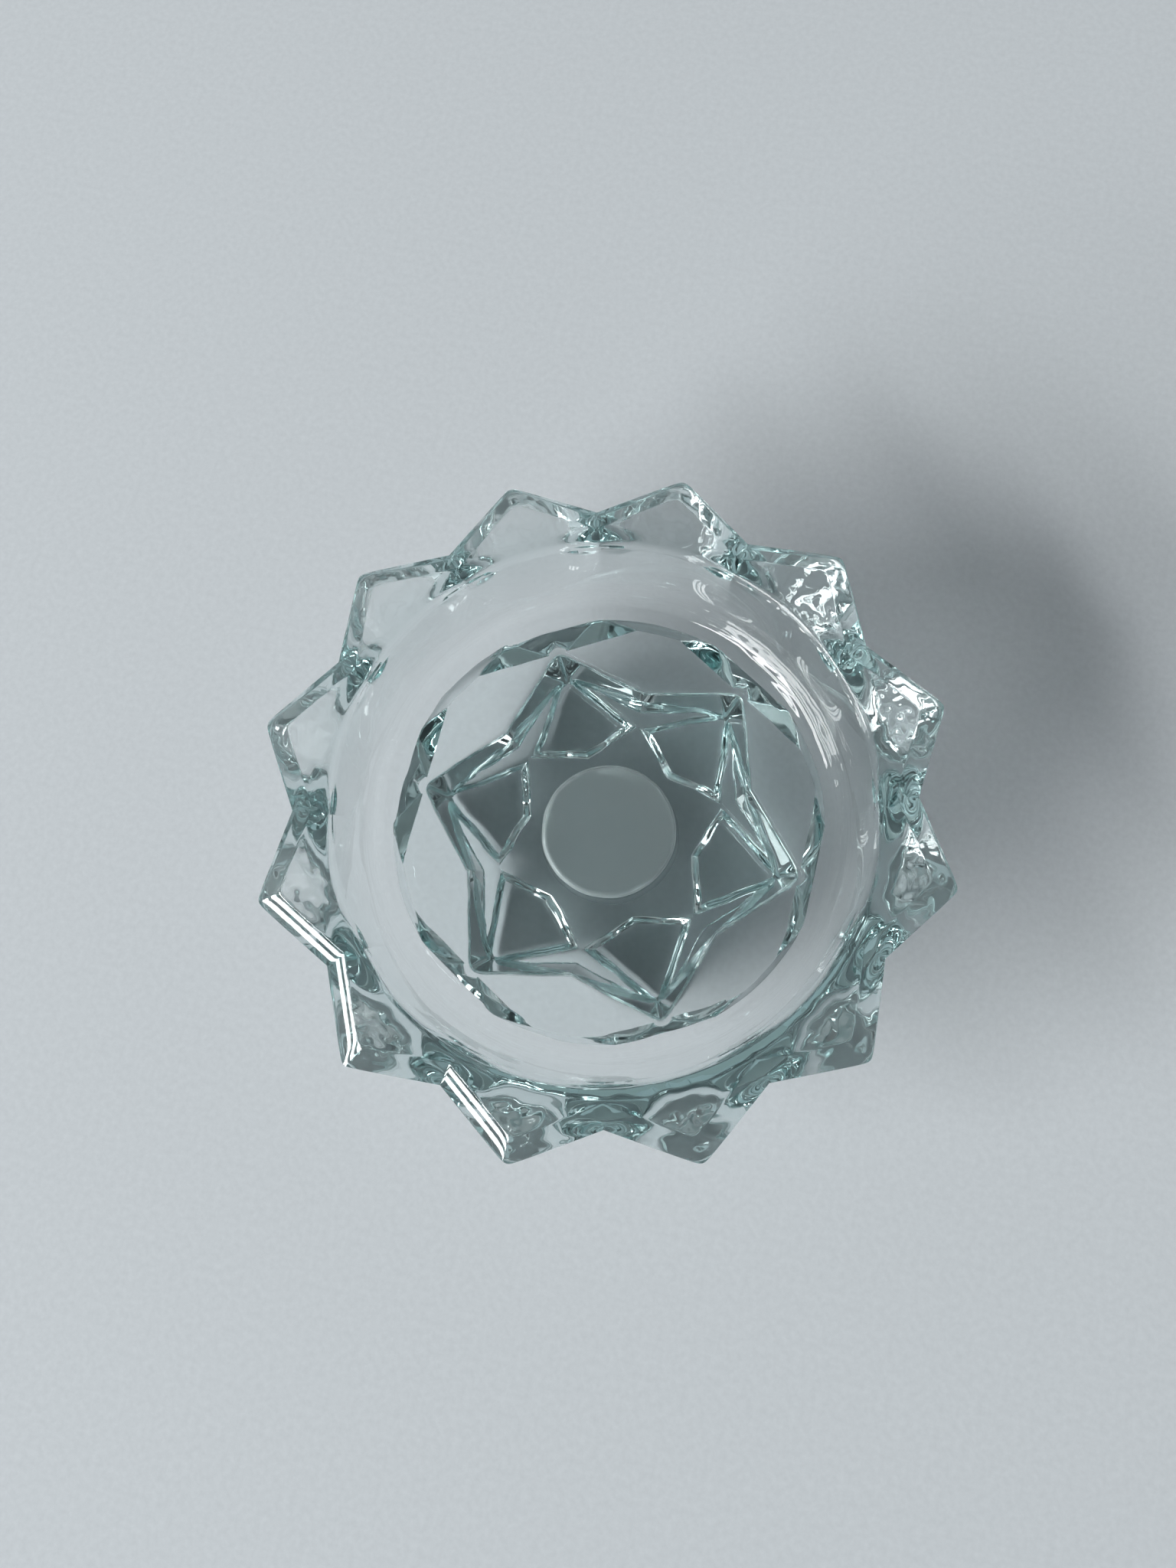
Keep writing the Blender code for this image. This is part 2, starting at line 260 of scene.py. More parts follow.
def plunger_marks(radius, azimuth):
    """Shallow rings that the turned plunger leaves on the cup's fillet and wall."""
    share = (radius - MARK_START) / (MARK_END - MARK_START)
    fade = eased_step(share * FADE_IN) * eased_step((1.0 - share) * FADE_OUT)
    marks = 0.0
    for number, (pitch, deep) in enumerate(zip(MARK_PITCHES, MARK_DEPTHS)):
        drift = SLOW_DRIFT * np.sin(azimuth * (3 + number) + number)
        drift = drift + FAST_DRIFT * np.sin(azimuth * (7 + 2 * number) + 2.1)
        swell = MEAN_SWELL + SWELL_CHANGE * np.sin(azimuth * (5 + 3 * number) + 1.7 * number)
        marks = marks + deep * swell * np.sin(2.0 * math.pi * radius / pitch + drift)
    return marks * fade


print("plunger marks run over", round((MARK_END - MARK_START) * 1000.0, 1), "mm of the cup's radius")

# %% [markdown]
# ## The upper surface
#
# Outside the cup come a rounded lip, the flat rim and a bevel that follows the star.  The bevel is a
# little steeper at its outer edge, so that it shows a strip of the room and not a single tone.  All are
# depths of the same kind: inside the mouth the deeper of cup and lip counts, and outside it the deeper
# of lip and bevel.

# %% Depth of the upper surface
LIP_ROUNDING = 0.0009
BEVEL_WIDTH, BEVEL_DEPTH, BEVEL_STRAIGHT = 0.0032, 0.0019, 0.74


def top_depth(radius, azimuth):
    """Depth below the rim plane of the cup, the lip, the flat rim and the bevel."""
    lip_run = np.clip(MOUTH_RADIUS + LIP_ROUNDING - radius, 0.0, LIP_ROUNDING)
    lip = LIP_ROUNDING - np.sqrt(LIP_ROUNDING ** 2 - lip_run ** 2)
    inset = star_inset(radius, azimuth, RIM)
    share = np.clip(1.0 - inset / BEVEL_WIDTH, 0.0, 1.0)
    bevel = BEVEL_DEPTH * share * (BEVEL_STRAIGHT + (1.0 - BEVEL_STRAIGHT) * share)
    cup = cup_depth(radius) + plunger_marks(radius, azimuth) + waves(radius, azimuth, PRESSED_WAVES)
    return np.where(radius < MOUTH_RADIUS, np.maximum(cup, lip), np.maximum(lip, bevel))


bevel_slopes = [BEVEL_DEPTH / BEVEL_WIDTH * factor for factor in (BEVEL_STRAIGHT, 2.0 - BEVEL_STRAIGHT)]
print("bevel leans by", [round(math.degrees(math.atan(slope))) for slope in bevel_slopes], "degrees")

# %% [markdown]
# ## The lobes under the rim points
#
# The mould's side also has one depth at each place, because the glass has to leave the mould.  Under
# each rim point hangs a lobe: a thin nose, a keel that slopes down to the bowl, and sides that curl up
# towards the valleys between the points.  The curl grows with the cube of the distance from the keel, so
# the back of the lobe stays broad and the valley turns sharply.  Fine ribs in the valleys stand for the
# ripples that the glass gets where it is squeezed last.

# %% Depth of the bowl and the lobes
EDGE_DRAFT = 0.14
BOWL_DEPTH, SHOULDER_ROUNDING = 0.0200, 0.0012
NOSE_DEPTH, NOSE_ROUNDING, KEEL_SLOPE = 0.0030, 0.0045, 1.18
LOBE_CURL, LOBE_START, LOBE_FULL = 3560.0, 0.0406, 0.0437
PLINTH_RADIUS, WAVE_GROWTH = 0.0333, 0.0040
VALLEY_REACH, VALLEY_RIB_PITCH, VALLEY_RIB_HEIGHT = 0.0042, 0.0009, 0.000014


def keel_depth(radius):
    """Depth under the middle of a rim point: an arc, a slope and the bowl."""
    slope_angle = math.atan(KEEL_SLOPE)
    nose_angle = math.atan(1.0 / EDGE_DRAFT)
    bend = NOSE_ROUNDING * (math.sin(nose_angle) - math.sin(slope_angle))
    inset = RIM["tip"] - EDGE_DRAFT * (NOSE_DEPTH - BEVEL_DEPTH) - radius
    sine = math.sin(nose_angle) - np.clip(inset, 0.0, bend) / NOSE_ROUNDING
    arc = NOSE_ROUNDING * (np.sqrt(1.0 - sine ** 2) - math.cos(nose_angle))
    slope = np.clip(inset - bend, 0.0, None) * KEEL_SLOPE
    edge = np.minimum(inset, 0.0) / EDGE_DRAFT
    above_bowl = (BOWL_DEPTH - (NOSE_DEPTH + arc + slope + edge)) / SHOULDER_ROUNDING
    return BOWL_DEPTH - SHOULDER_ROUNDING * np.logaddexp(0.0, above_bowl)


def lobe_depth(radius, azimuth):
    """Depth of the bowl and of the twelve round-backed lobes outside it."""
    across = radius * np.sin(nearest_point_angle(azimuth, RIM_POINTS))
    grown = eased_step((radius - LOBE_START) / (LOBE_FULL - LOBE_START))
    lobe = keel_depth(radius) - grown * LOBE_CURL * np.abs(across) ** 3
    outside_plinth = eased_step((radius - PLINTH_RADIUS) / WAVE_GROWTH)
    lobe = lobe + outside_plinth * waves(radius, azimuth, PRESSED_WAVES)
    lobe = lobe + grown * waves(radius, azimuth, LOBE_WAVES)
    side = eased_step(np.abs(across) / VALLEY_REACH - 1.0)
    lobe = lobe + grown * side * VALLEY_RIB_HEIGHT * np.sin(2.0 * math.pi * across / VALLEY_RIB_PITCH)
    edge = BEVEL_DEPTH + star_inset(radius, azimuth, RIM) / EDGE_DRAFT
    return np.minimum(lobe, edge)


print("keels lean by", round(math.degrees(math.atan(KEEL_SLOPE))), "degrees")

# %% [markdown]
# ## The plinth
#
# Below the bowl stands a short plinth.  Its wall is nearly upright and round, and six steep facets are
# cut into it, one behind each point of the foot.  Seen through the cup, its facets and corners make
# the dark leaves round the star.  Its depth is the smallest of three: its flat, a facet and the wall.

# %% Depth of the plinth
PLINTH_APOTHEM, PLINTH_DEPTH = 0.0305, 0.0268
FACET_SLOPE, PLINTH_WALL_SLOPE = 3.0, 15.0


def plinth_depth(radius, azimuth):
    """Depth of the flat plinth, its steep facets facing the foot's points."""
    angle = nearest_point_angle(azimuth, FOOT_POINTS)
    facet = (PLINTH_APOTHEM - radius * np.cos(angle)) * FACET_SLOPE
    wall = (PLINTH_RADIUS - radius) * PLINTH_WALL_SLOPE
    return PLINTH_DEPTH + np.minimum(np.minimum(facet, wall), 0.0)


print("plinth stands", round((PLINTH_DEPTH - BOWL_DEPTH) * 1000.0, 1), "mm below the bowl")

# %% [markdown]
# ## The foot and its pads
#
# The foot is a six-pointed star with drafted walls and a small cove where it meets the plinth.  Its
# underside is a little hollow, so that the holder stands on six kite-shaped pads and doesn't rock.  Each
# kite has a toe at the star's point, two side corners and a heel near the socket.  The short steep
# sides of the kites are what the eye sees as white lines.  The kite's edges are straight, so the larger
# of the distances past two lines gives one half of the pad, and the other half is its mirror image.

# %% Depth of the foot
FOOT_DRAFT, COVE_RADIUS, FOOT_EDGE_BAND = 0.24, 0.0012, 0.0006
PAD_TIP, PAD_SIDE, PAD_SIDE_ANGLE, PAD_HEEL = 0.0256, 0.0184, math.radians(17.5), 0.0158
PAD_HEIGHT, PAD_SLOPE, PAD_ROUNDING, PAD_FOOT_BAND = 0.0022, 1.8, 0.0016, 0.0012


def pad_lines():
    """The kite's two straight edges as (unit normal, offset), in one half."""
    side = (PAD_SIDE * math.cos(PAD_SIDE_ANGLE), PAD_SIDE * math.sin(PAD_SIDE_ANGLE))
    lines = []
    for corner, outward in ((PAD_TIP, 1.0), (PAD_HEEL, -1.0)):
        run = (corner - side[0], -side[1])
        length = math.hypot(*run)
        normal = (outward * -run[1] / length, outward * run[0] / length)
        lines.append((normal, normal[0] * corner))
    return lines


def foot_depth(radius, azimuth):
    """Depth of the star foot: drafted walls, kite pads and the hollow between."""
    angle = nearest_point_angle(azimuth, FOOT_POINTS)
    along, across = radius * np.cos(angle), np.abs(radius * np.sin(angle))
    toe, heel = pad_lines()
    past_toe = toe[0][0] * along + toe[0][1] * across - toe[1]
    past_heel = heel[0][0] * along + heel[0][1] * across - heel[1]
    rise = eased_ramp(np.maximum(past_toe, past_heel), PAD_SLOPE, PAD_ROUNDING)
    rise = soft_min(rise, PAD_HEIGHT, PAD_FOOT_BAND)
    inset = star_inset(radius, azimuth, FOOT)
    wall = PLINTH_DEPTH + inset / FOOT_DRAFT
    cove_run = np.clip(COVE_RADIUS + inset, 0.0, COVE_RADIUS)
    cove = PLINTH_DEPTH + COVE_RADIUS - np.sqrt(COVE_RADIUS ** 2 - cove_run ** 2)
    foot = soft_min(np.where(inset > 0.0, wall + COVE_RADIUS, cove), HEIGHT - rise, FOOT_EDGE_BAND)
    return np.where(inset > -COVE_RADIUS, foot, 0.0)


print("foot is", round((HEIGHT - PLINTH_DEPTH) * 1000.0, 1), "mm high with", FOOT_POINTS, "kite pads")

# %% [markdown]
# ## The socket
#
# In the middle of the foot a round socket takes the butt of a 22 mm taper candle when the holder is
# turned over.  Its wall has a draft, so that the candle wedges in it and the mould's pin comes out.
# With it the underside is complete: the lowest of bowl, plinth and foot, with the socket sunk into it.

# %% Depth of the whole underside
SOCKET_RADIUS, SOCKET_CEILING, SOCKET_DRAFT, SOCKET_FILLET = 0.0107, 0.0270, 0.06, 0.0010


def under_depth(radius, azimuth):
    """Depth of the whole underside, with the taper socket sunk into it."""
    body = np.maximum.reduce([
        lobe_depth(radius, azimuth),
        plinth_depth(radius, azimuth),
        foot_depth(radius, azimuth),
    ])
    past_floor = radius - SOCKET_RADIUS + SOCKET_FILLET
    socket = SOCKET_CEILING + eased_ramp(past_floor, 1.0 / SOCKET_DRAFT, SOCKET_FILLET)
    return np.where(radius < PAD_HEEL, np.minimum(body, socket), body)


socket_mouth = SOCKET_RADIUS + SOCKET_DRAFT * (HEIGHT - PAD_HEIGHT - SOCKET_CEILING)
print("socket is", round(socket_mouth * 2000.0, 1), "mm across at its mouth")

# %% [markdown]
# ## Loops round the axis
#
# A mesh that only samples a height field on a square grid has ragged edges.  Here each loop follows a
# line of the real object, such as the foot's outline or the edge of a pad, and the space between two
# such lines is filled with as many loops as its curve needs.  The last fifth of the cup's fillet is
# steep, so it gets a line of its own and closer loops.

# %% Lines of the upper surface
STEEP_FILLET_START = 0.8


def top_lines(azimuth):
    """Radii of the upper surface's lines, each with the loops up to it."""
    level = np.ones_like(azimuth)
    floor_radius, _, wall_radius = cup_section()
    steep_fillet = floor_radius + (wall_radius - floor_radius) * STEEP_FILLET_START
    outline = star_radius(azimuth, RIM)
    brow = outline - BEVEL_WIDTH * math.hypot(1.0, edge_fall(RIM))
    return [
        (floor_radius * level, 16),
        (steep_fillet * level, 30),
        (wall_radius * level, 24),
        (MOUTH_RADIUS * level, 12),
        ((MOUTH_RADIUS + LIP_ROUNDING) * level, 8),
        (brow, 20),
        (outline, 22),
    ]


print("upper surface has", sum(count for _, count in top_lines(np.zeros(1))), "loops")

# %% [markdown]
# ## Loops of the underside
#
# The underside has more lines: the socket's edges, the edges of a pad's sloping side, the foot, the
# plinth's facets, the bowl and the lobes.  A pad's lines lie where rays from the axis cross the kite's
# straight edges, so the loops run along its outline.

# %% Lines of the underside
def kite_radius(line, angle):
    """Radius at which a ray from the axis crosses one of the kite's edges."""
    (normal_along, normal_across), offset = line
    return offset / (normal_along * np.cos(angle) + normal_across * np.abs(np.sin(angle)))


def pad_side_runs():
    """Width of the round edge of a pad, and of its whole sloping side."""
    turn = math.atan(PAD_SLOPE)
    bend = PAD_ROUNDING * math.sin(turn)
    straight = (PAD_HEIGHT - PAD_ROUNDING * (1.0 - math.cos(turn))) / PAD_SLOPE
    return bend, bend + straight + PAD_FOOT_BAND * 0.5


def under_lines(azimuth):
    """Radii of the underside's lines, each with the loops up to it."""
    angle = nearest_point_angle(azimuth, FOOT_POINTS)
    level = np.ones_like(azimuth)
    toe, heel = pad_lines()
    bend, side = pad_side_runs()
    on_pad = np.abs(angle) < PAD_SIDE_ANGLE
    outer = np.where(on_pad, kite_radius(toe, angle), PAD_SIDE)
    inner = np.where(on_pad, kite_radius(heel, angle), PAD_SIDE)
    foot = star_radius(azimuth, FOOT)
    wall_run = FOOT_DRAFT * (HEIGHT - PAD_HEIGHT - PLINTH_DEPTH)
    facet_foot = np.minimum(PLINTH_APOTHEM / np.cos(angle), PLINTH_RADIUS)
    facet_run = (PLINTH_DEPTH - BOWL_DEPTH) / FACET_SLOPE
    facet_head = np.minimum(facet_foot + facet_run / np.cos(angle), PLINTH_RADIUS)
    wall_top = PLINTH_RADIUS + (PLINTH_DEPTH - BOWL_DEPTH) / PLINTH_WALL_SLOPE
    outline = star_radius(azimuth, RIM)
    nose = outline - EDGE_DRAFT * (NOSE_DEPTH - BEVEL_DEPTH)
    return [
        ((SOCKET_RADIUS - SOCKET_FILLET) * level, 6),
        (SOCKET_RADIUS * level, 10),
        (socket_mouth * level, 4),
        (inner - side, 4),
        (inner - bend, 12),
        (inner, 10),
        (outer, 8),
        (outer + bend, 10),
        (outer + side, 12),
        (np.maximum(foot - wall_run, outer + side), 6),
        (foot, 16),
        (foot + COVE_RADIUS, 10),
        (facet_foot, 4),
        (facet_head, 8),
        (wall_top * level, 6),
        (LOBE_START * level, 10),
        (LOBE_FULL * level, 30),
        (nose, 30),
        (outline, 4),
    ]


print("a pad's side is", round(pad_side_runs()[1] * 1000.0, 2), "mm wide")
print("underside has", sum(count for _, count in under_lines(np.zeros(1))), "loops")

# %% [markdown]
# ## From lines to loops
#
# Each loop has to lie outside the one before it, also where two lines of the object touch, or faces
# would fold over.  So each loop keeps a small step from the one before it, and a smaller one where the
# loops crowd at the rim's outline.  Both steps are too small to see.

# %% Loops between the lines
SMALLEST_STEP = 0.00002
STEP_AT_RIM = SMALLEST_STEP / 4.0


def loop_radii(lines, limit):
    """All loops between the given lines, each a small step outside the one before."""
    radii, last = [], np.zeros_like(limit)
    for line, count in lines:
        line = np.maximum(line, last + SMALLEST_STEP * count)
        radii += [last + (line - last) * (step + 1) / count for step in range(count)]
        last = line
    radii = np.array(radii)
    rows = np.arange(len(radii))[:, None]
    return np.minimum(radii, limit - (len(radii) - 1 - rows) * STEP_AT_RIM)


steps = [round(step * 1000.0, 3) for step in (SMALLEST_STEP, STEP_AT_RIM)]
print("smallest steps between loops, and at the rim:", steps, "mm")

# %% [markdown]
# ## The body as one closed mesh
#
# The loops of the upper surface run outwards from the axis and those of the underside run back in.
# They meet at the widest line of the rim, where the two halves of a real mould part.  Numpy makes all
# the points at once.  The faces are four-sided strips between neighbouring loops, and a fan of
# triangles closes each end at the axis.

# %% Points and faces of the glass body
AROUND = 960


def strip_faces(rows):
    """Four-sided faces between consecutive rows of vertex numbers."""
    inner, outer = rows[:-1], rows[1:]
    corners = [inner, outer, np.roll(outer, -1, axis=1), np.roll(inner, -1, axis=1)]
    return np.stack(corners, -1).reshape(-1, 4)


def glass_body_mesh():
    """Points, four-sided faces and the two fans at the axis."""
    azimuth = np.arange(AROUND) * 2.0 * math.pi / AROUND
    outline = star_radius(azimuth, RIM)
    top = loop_radii(top_lines(azimuth), outline)
    under = loop_radii(under_lines(azimuth), outline)[:-1][::-1]
    depth_top = top_depth(top, azimuth)
    depth_top[-1] = BEVEL_DEPTH
    radius = np.concatenate([top, under])
    depth = np.concatenate([depth_top, under_depth(under, azimuth)])
    points = np.stack([radius * np.cos(azimuth), radius * np.sin(azimuth), HEIGHT - depth], -1).reshape(-1, 3)
    centres = [[0.0, 0.0, HEIGHT - CUP_DEPTH], [0.0, 0.0, HEIGHT - SOCKET_CEILING]]
    rows = np.arange(len(points)).reshape(radius.shape)
    floor, ceiling = len(points), len(points) + 1
    first, last = rows[0], rows[-1]
    fans = np.concatenate([
        np.stack([np.full(AROUND, floor), first, np.roll(first, -1)], -1),
        np.stack([np.full(AROUND, ceiling), np.roll(last, -1), last], -1),
    ])
    return np.concatenate([points, centres]), strip_faces(rows), fans


body_points, body_strips, body_fans = glass_body_mesh()
print("points:", len(body_points), "faces in strips:", len(body_strips), "and in fans:", len(body_fans))

# %% [markdown]
# ## Into Blender
#
# Handing over whole arrays is much faster than adding three hundred thousand faces one by one.  The
# faces are shaded smooth, and edges that turn by more than 35 degrees stay crisp, such as the widest
# line of the rim, where the mould parts.

# %% Make the body
SHARP_ANGLE = math.radians(35.0)


def mesh_from_arrays(name, points, quads, triangles):
    """Make a mesh object from numpy arrays."""
    mesh = bpy.data.meshes.new(name)
    mesh.vertices.add(len(points))
    mesh.vertices.foreach_set("co", points.astype(np.float32).ravel())
    corners = np.concatenate([quads.ravel(), triangles.ravel()]).astype(np.int32)
    mesh.loops.add(len(corners))
    mesh.loops.foreach_set("vertex_index", corners)
    mesh.polygons.add(len(quads) + len(triangles))
    starts = np.concatenate([np.arange(len(quads)) * 4, quads.size + np.arange(len(triangles)) * 3])
    mesh.polygons.foreach_set("loop_start", starts.astype(np.int32))
    mesh.update(calc_edges=True)
    mesh.validate()
    mesh.shade_smooth()
    mesh.set_sharp_from_angle(angle=SHARP_ANGLE)
    made = bpy.data.objects.new(name, mesh)
    bpy.context.collection.objects.link(made)
    return made


body = mesh_from_arrays("pressed_glass_body", body_points, body_strips, body_fans)
print("pressed_glass_body faces:", len(body.data.polygons))

# %% [markdown]
# ## The chilled ceiling of the socket
#
# The glass is fire-polished after pressing: a flame melts its skin smooth.  The flame doesn't reach the
# end of the socket, so its ceiling keeps the dull skin that the cold pin, a small plunger of its own,
# gave it, and it shows as a cloudy disc.  It isn't a separate piece, so the faces of the ceiling and
# its fillet only get a second material.

# %% Choose the faces of the socket's ceiling
def mark_ceiling(mesh):
    """Give the socket's ceiling and its fillet the second material."""
    centres = np.empty(len(mesh.polygons) * 3)
    mesh.polygons.foreach_get("center", centres)
    east, north, up = centres.reshape(-1, 3).T
    below_cup = up < HEIGHT - (CUP_DEPTH + SOCKET_CEILING) / 2.0
    on_ceiling = (np.hypot(east, north) < SOCKET_RADIUS) & below_cup
    mesh.polygons.foreach_set("material_index", on_ceiling.astype(np.int32))
    return int(on_ceiling.sum())


chilled_faces = mark_ceiling(body.data)
print("faces with a chilled skin:", chilled_faces)

# %% [markdown]
# ## Soda-lime glass
#
# Clear pressed glass is soda-lime glass with traces of iron.  Its refractive index is about 1.52, and
# its fire-polished skin is as smooth as a liquid's, so its roughness is zero.  The iron gives a faint
# sea-green cast that grows with the length of the light's path.  A coloured surface would tint thin and
# thick places alike, so the colour belongs in the volume: thin places look clear and the deep points of
# the rim look teal.  A very weak bump adds the slow swell of about 6 mm that any pressed skin has.
#
# The chilled skin is the same glass with a dull surface.  It lets part of the light through, blurred,
# and scatters the rest like ground glass.

# %% Glass materials
GLASS_IOR = 1.52
GLASS_TINT, TINT_PER_METRE = "#c6dfdf", 24.0
SWELLS_PER_METRE, SWELL_HEIGHT, SWELL_STRENGTH = 160.0, 0.0002, 0.02
FIRE_POLISHED = dict(roughness=0.0, clearness=1.0)
CHILLED = dict(roughness=0.45, clearness=0.6)


def soda_lime_glass(name, roughness, clearness):
    """Soda-lime glass, tinted by its depth; the share that isn't clear scatters the light."""
    material = bpy.data.materials.new(name)
    material.use_nodes = True
    tree = material.node_tree
    tree.nodes.clear()
    place = add_node(tree, "ShaderNodeTexCoord")
    swell = add_node(
        tree, "ShaderNodeTexNoise", {"Scale": SWELLS_PER_METRE, "Detail": 1.0, "Roughness": 0.4},
        {"Vector": place.outputs["Object"]},
    )
    skin = add_node(
        tree, "ShaderNodeBump", {"Strength": SWELL_STRENGTH, "Distance": SWELL_HEIGHT},
        {"Height": swell.outputs["Fac"]},
    )
    surface = add_node(
        tree, "ShaderNodeBsdfPrincipled",
        {
            "Base Color": linear("#ffffff"), "Roughness": roughness, "IOR": GLASS_IOR,
            "Transmission Weight": clearness,
        },
        {"Normal": skin.outputs["Normal"]},
    )
    tint = add_node(
        tree, "ShaderNodeVolumeAbsorption", {"Color": linear(GLASS_TINT), "Density": TINT_PER_METRE},
    )
    add_node(
        tree, "ShaderNodeOutputMaterial",
        links={"Surface": surface.outputs["BSDF"], "Volume": tint.outputs["Volume"]},
    )
    return material


body.data.materials.append(soda_lime_glass("fire_polished_soda_lime_glass", **FIRE_POLISHED))
body.data.materials.append(soda_lime_glass("soda_lime_glass_chilled_by_the_plunger", **CHILLED))
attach(body, "root")
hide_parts("glass_body")
print("glass materials:", [material.name for material in body.data.materials])

# %% [markdown]
# ## The table
#
# The holder stands on a pale, cool grey board with matt paint, which the eye sees as even and without
# gloss.  A paint roller leaves a grain of about 1.1 mm, drawn as two greys that lie close together.  A
# plane is all that it needs.  It lies a tenth of a millimetre under the pads, so that glass and board
# never share a face.

# %% Table
TABLE_SIZE, TABLE_GAP = 3.0, 0.0001
GRAINS_PER_METRE, BOARD_ROUGHNESS = 900.0, 1.0
GRAIN_DARK, GRAIN_LIGHT = ("#ced4d8", 0.3), ("#d6dce0", 0.7)


def matt_painted_board():
    """Matt painted board with a fine grain."""
    material = bpy.data.materials.new("matt_painted_board")
    material.use_nodes = True
    tree = material.node_tree
    shader = tree.nodes["Principled BSDF"]
    shader.inputs["Roughness"].default_value = BOARD_ROUGHNESS
    place = add_node(tree, "ShaderNodeTexCoord")
    grain = add_node(
        tree, "ShaderNodeTexNoise", {"Scale": GRAINS_PER_METRE, "Detail": 4.0, "Roughness": 0.6},
        {"Vector": place.outputs["Object"]},
    )
    paint = add_node(tree, "ShaderNodeValToRGB", links={"Fac": grain.outputs["Fac"]})
    for stop, (colour, position) in zip(paint.color_ramp.elements, (GRAIN_DARK, GRAIN_LIGHT)):
        stop.color = linear(colour)
        stop.position = position
    tree.links.new(paint.outputs["Color"], shader.inputs["Base Color"])
    return material


half = TABLE_SIZE / 2.0
table_corners = [(-half, -half, 0.0), (half, -half, 0.0), (half, half, 0.0), (-half, half, 0.0)]
table_mesh = bpy.data.meshes.new("table")
table_mesh.from_pydata(table_corners, [], [(0, 1, 2, 3)])
table_mesh.materials.append(matt_painted_board())
table = bpy.data.objects.new("table", table_mesh)
table.location.z = -TABLE_GAP
bpy.context.collection.objects.link(table)
print("table is", TABLE_SIZE, "m wide")

# %% [markdown]
# ## The window
#
# Clear glass has almost no colour of its own, so it shows what stands round it.  A window stands low on
# the left.  It has three panes with bars between them, so that a bevel shows thin white lines and not
# one broad one.  Area lamps are used, because their size and place are known exactly, and all three
# share their settings, so that they stay alike.  The window's direction is as seen in the photograph,
# and the turn brings it into the body's own frame.  Its brightness is the mean over panes and bars.

# %% Window
TURN = math.radians(14.5)
WINDOW_AZIMUTH = math.radians(207.0) + TURN
WINDOW_ELEVATION = math.radians(27.0)
WINDOW_HALF_WIDTH = math.radians(22.0)
WINDOW_HALF_HEIGHT = math.radians(14.0)
WINDOW_PANES, PANE_SHARE = 3, 0.6
WINDOW_DISTANCE = 4.0
WINDOW_BRIGHTNESS = 12.0

window_height = 2.0 * WINDOW_DISTANCE * math.tan(WINDOW_HALF_HEIGHT)
pane_light = bpy.data.lights.new("window_pane", "AREA")
pane_light.shape = "RECTANGLE"
pane_light.size = 2.0 * WINDOW_DISTANCE * math.tan(WINDOW_HALF_WIDTH)
pane_light.size_y = window_height * PANE_SHARE / WINDOW_PANES
pane_light.energy = WINDOW_BRIGHTNESS * math.pi * pane_light.size * pane_light.size_y / PANE_SHARE
for number in range(WINDOW_PANES):
    share = (number + 0.5) / WINDOW_PANES * 2.0 - 1.0
    elevation = WINDOW_ELEVATION + share * WINDOW_HALF_HEIGHT
    toward_pane = Vector((
        math.cos(WINDOW_AZIMUTH) * math.cos(elevation),
        math.sin(WINDOW_AZIMUTH) * math.cos(elevation),
        math.sin(elevation),
    ))
    pane = bpy.data.objects.new("window_pane", pane_light)
    pane.location = toward_pane * WINDOW_DISTANCE
    pane.rotation_euler = toward_pane.to_track_quat("Z", "Y").to_euler()
    bpy.context.collection.objects.link(pane)
print("each pane is", round(pane_light.size, 2), "by", round(pane_light.size_y, 2), "m")

# %% [markdown]
# ## The room
#
# The walls give a weak, even light, and overhead the room is darker.  A picture of a room would bring
# lights that don't belong here.  A ramp over the height of each direction is enough, because the glass
# bends and breaks all that it shows.  Both ends of the ramp are amounts of light and no paint, so they
# are written as linear values.

# %% Room
ROOM_WALLS, ROOM_WALLS_END = (0.46, 0.49, 0.50, 1.0), 0.35
ROOM_OVERHEAD, ROOM_OVERHEAD_START = (0.05, 0.053, 0.056, 1.0), 0.75

room = bpy.data.worlds.new("room")
room.use_nodes = True
room_tree = room.node_tree
direction = add_node(room_tree, "ShaderNodeTexCoord")
height = add_node(room_tree, "ShaderNodeSeparateXYZ", links={"Vector": direction.outputs["Generated"]})
shade = add_node(room_tree, "ShaderNodeValToRGB", links={"Fac": height.outputs["Z"]})
room_stops = ((ROOM_WALLS, ROOM_WALLS_END), (ROOM_OVERHEAD, ROOM_OVERHEAD_START))
for stop, (light, position) in zip(shade.color_ramp.elements, room_stops):
    stop.color = light
    stop.position = position
room_tree.links.new(shade.outputs["Color"], room_tree.nodes["Background"].inputs["Color"])
room_tree.nodes["Background"].inputs["Strength"].default_value = 1.0
bpy.context.scene.world = room
print("room light at the walls:", ROOM_WALLS[:3], "and overhead:", ROOM_OVERHEAD[:3])

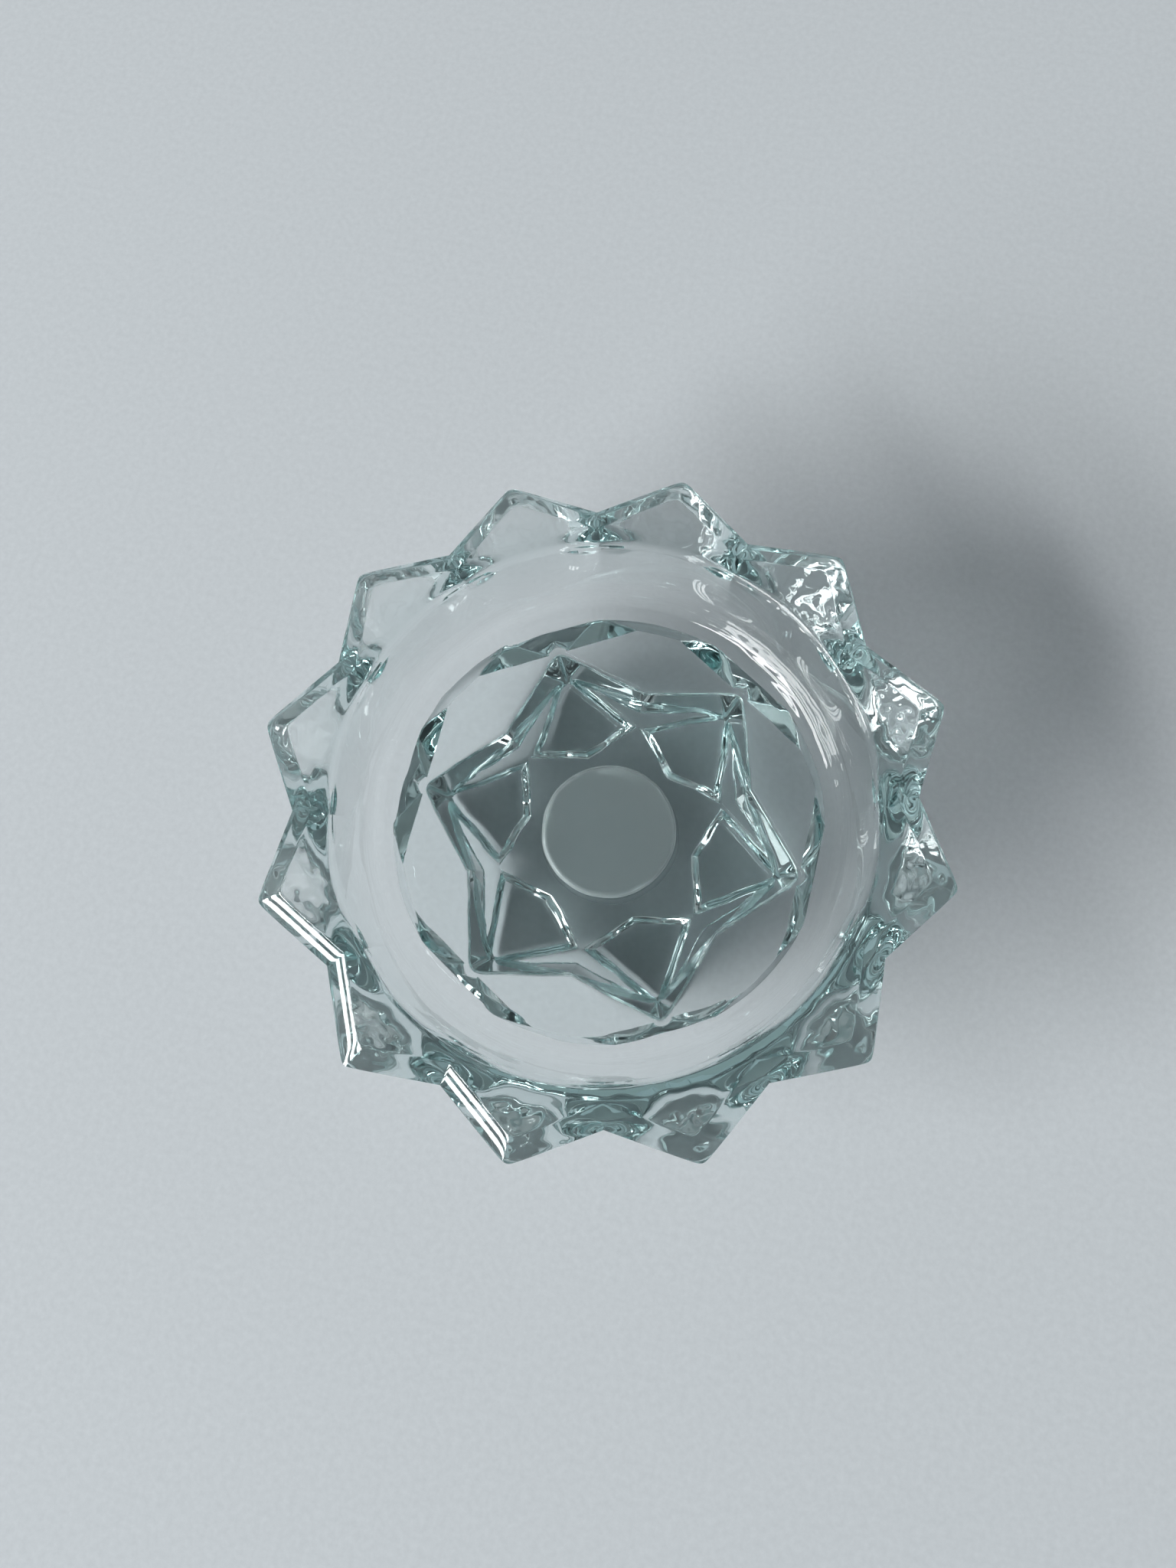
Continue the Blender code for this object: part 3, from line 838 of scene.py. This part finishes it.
# %% [markdown]
# ## The camera
#
# The photograph looks down at the table, tilted a little, with the holder turned by fourteen and a half
# degrees.  The camera's turn and place were fitted to the rim's twenty-four corners.  The place is
# written in rim radii from the middle of the rim's outer edge, because a photograph alone gives it only
# as a multiple of the object's size.

# %% Camera
CAMERA_TURN = (-0.21302, -0.07084, -0.00022)
CAMERA_SHIFT = (0.03385, -0.05585, -3.3084)
FOCAL_PIXELS, FRAME_PIXELS = 1539.0, 2048.0
SENSOR_HEIGHT = 36.0
CLIP_START = 0.001

turn_x, turn_y, turn_z = (Matrix.Rotation(angle, 3, axis) for angle, axis in zip(CAMERA_TURN, "XYZ"))
world_to_camera = turn_x @ turn_y @ turn_z @ Matrix.Rotation(-TURN, 3, "Z")
camera_to_world = world_to_camera.transposed()
rim_edge_plane = Vector((0.0, 0.0, HEIGHT - BEVEL_DEPTH))
place = camera_to_world @ (Vector(CAMERA_SHIFT) * -RIM["tip"]) + rim_edge_plane

camera_data = bpy.data.cameras.new("camera")
camera_data.sensor_fit = "VERTICAL"
camera_data.sensor_height = SENSOR_HEIGHT
camera_data.lens = SENSOR_HEIGHT * FOCAL_PIXELS / FRAME_PIXELS
camera_data.clip_start = CLIP_START
camera = bpy.data.objects.new("camera", camera_data)
camera.matrix_world = Matrix.Translation(place) @ camera_to_world.to_4x4()
bpy.context.collection.objects.link(camera)
bpy.context.scene.camera = camera
bpy.context.scene.view_settings.view_transform = "Standard"
distance = round(place.length * 1000.0)
print("camera is", distance, "mm from the foot's middle, with a lens of", round(camera_data.lens, 1), "mm")

# %% [markdown]
# ## Enough bounces for glass
#
# Light that enters a lobe is thrown from wall to wall many times before it leaves.  With the usual
# limits such paths are cut off and leave black patches.  High limits let them run on until they leave
# the glass, and only the tint darkens them.

# %% Light paths
LIGHT_BOUNCES = 96
cycles = bpy.context.scene.cycles
cycles.max_bounces = cycles.transmission_bounces = cycles.glossy_bounces = LIGHT_BOUNCES
print("light bounces:", cycles.max_bounces)
